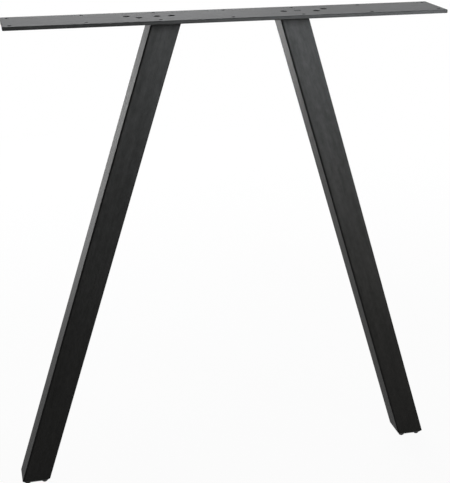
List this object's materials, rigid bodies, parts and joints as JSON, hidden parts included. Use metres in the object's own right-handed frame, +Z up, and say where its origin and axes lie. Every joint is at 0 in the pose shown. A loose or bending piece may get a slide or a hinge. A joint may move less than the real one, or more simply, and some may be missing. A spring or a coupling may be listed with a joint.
{
  "type": "trestle table leg",
  "caption": "Welded steel trestle table leg in black powder coat: a drilled flat plate on splayed square tubes with plastic foot plugs, to carry an end of a table top.",
  "frame": {"origin": "on the floor, midway between the feet, under the middle of the plate", "axes": "+X along the plate, +Y across it, +Z up"},
  "size_m": [0.6504, 0.08, 0.7],
  "materials": {
    "powder_coat": "satin black powder coat",
    "foot_plastic": "moulded matte black"
  },
  "bodies": {
    "root": {"top_plate": "powder_coat", "right_plug_weld": "powder_coat", "left_leg_tube": "powder_coat", "right_leg_tube": "powder_coat", "left_weld_bead": "powder_coat", "right_weld_bead": "powder_coat", "left_foot_plug": "foot_plastic", "right_foot_plug": "foot_plastic"}
  },
  "joints": []
}
